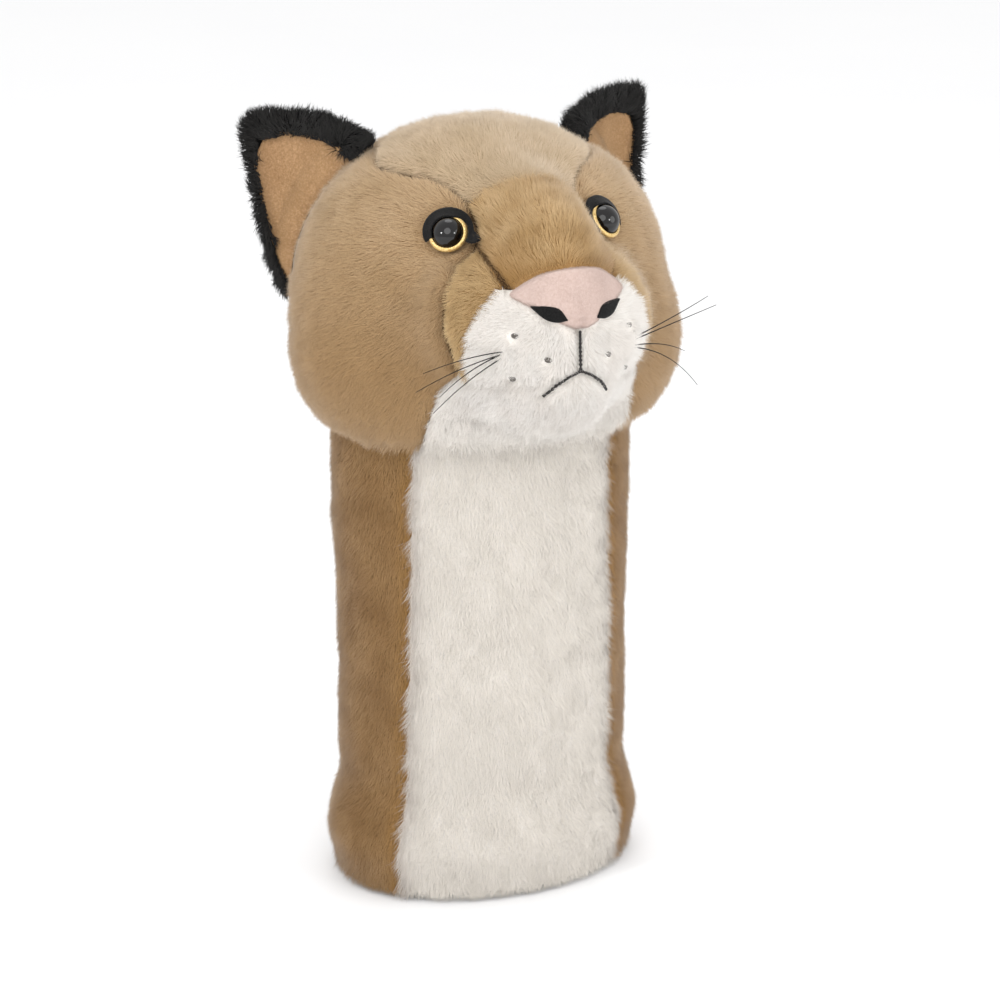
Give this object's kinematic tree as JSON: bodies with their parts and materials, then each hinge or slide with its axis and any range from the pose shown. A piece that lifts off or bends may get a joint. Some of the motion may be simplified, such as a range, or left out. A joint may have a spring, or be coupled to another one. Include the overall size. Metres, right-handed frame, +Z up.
{
  "type": "driver head cover",
  "caption": "Plush golf driver head cover shaped as a mountain lion: stuffed head around a club pocket on a long lined sleeve.",
  "frame": {"origin": "centre of the sleeve's opening, in the plane of the hem that it rests on", "axes": "+Z up the sleeve towards the crown, -Y the way the face looks, +X the animal's left"},
  "size_m": [0.1978, 0.1952, 0.3644],
  "materials": {
    "cream_plush": "matte",
    "tan_side_plush": "matte",
    "tan_face_plush": "matte",
    "tan_crown_plush": "matte",
    "tan_bridge_plush": "matte",
    "black_plush": "matte",
    "ear_velour": "matte",
    "black_felt": "matte",
    "pink_felt": "matte",
    "black_thread": "satin",
    "whisker_nylon": "satin",
    "eye_black": "gloss",
    "iris_gold": "gloss",
    "washer_plastic": "satin",
    "satin_lining": "satin",
    "elastic": "matte",
    "polyester_fill": "matte"
  },
  "bodies": {
    "sleeve": {"belly_panel": "cream_plush", "side_panel_left": "tan_side_plush", "side_panel_right": "tan_side_plush", "back_panel": "tan_side_plush", "sleeve_lining": "satin_lining", "hem_band": "satin_lining", "grip_elastic": "elastic"},
    "head": {"muzzle_pad_left": "cream_plush", "muzzle_pad_right": "cream_plush", "chin": "cream_plush", "throat": "cream_plush", "cheek_left": "tan_face_plush", "cheek_right": "tan_face_plush", "head_back_left": "tan_face_plush", "head_back_right": "tan_face_plush", "forehead_gusset": "tan_crown_plush", "nose_bridge": "tan_bridge_plush", "muzzle_side_left": "tan_bridge_plush", "muzzle_side_right": "tan_bridge_plush", "nostril_left": "black_felt", "nostril_right": "black_felt", "eyelid_left": "black_felt", "eyelid_right": "black_felt", "nose_pad": "pink_felt", "mouth_stitch": "black_thread", "whisker_dots_left": "black_thread", "whisker_dots_right": "black_thread", "whiskers_left": "whisker_nylon", "whiskers_right": "whisker_nylon", "eye_left": "eye_black", "eye_right": "eye_black", "iris_left": "iris_gold", "iris_right": "iris_gold", "eye_washer_left": "washer_plastic", "eye_washer_right": "washer_plastic", "pocket_lining": "satin_lining", "head_stuffing": "polyester_fill"},
    "ear_left": {"ear_back_left": "black_plush", "ear_lining_left": "ear_velour"},
    "ear_right": {"ear_back_right": "black_plush", "ear_lining_right": "ear_velour"}
  },
  "joints": [
    {"name": "neck_nod", "type": "hinge", "parent": "sleeve", "child": "head", "pos_m": [0, 0, 0.22], "axis": [1, 0, 0], "range_deg": [-10, 10], "stiffness_Nm_per_rad": 2.5},
    {"name": "ear_left_flop", "type": "hinge", "parent": "head", "child": "ear_left", "pos_m": [0.0766, 0.0241, 0.3242], "axis": [0.4538, 0.1917, -0.8702], "range_deg": [-20, 20], "stiffness_Nm_per_rad": 0.03},
    {"name": "ear_right_flop", "type": "hinge", "parent": "head", "child": "ear_right", "pos_m": [-0.0766, 0.0241, 0.3242], "axis": [0.4538, -0.1917, 0.8702], "range_deg": [-20, 20], "stiffness_Nm_per_rad": 0.03}
  ]
}
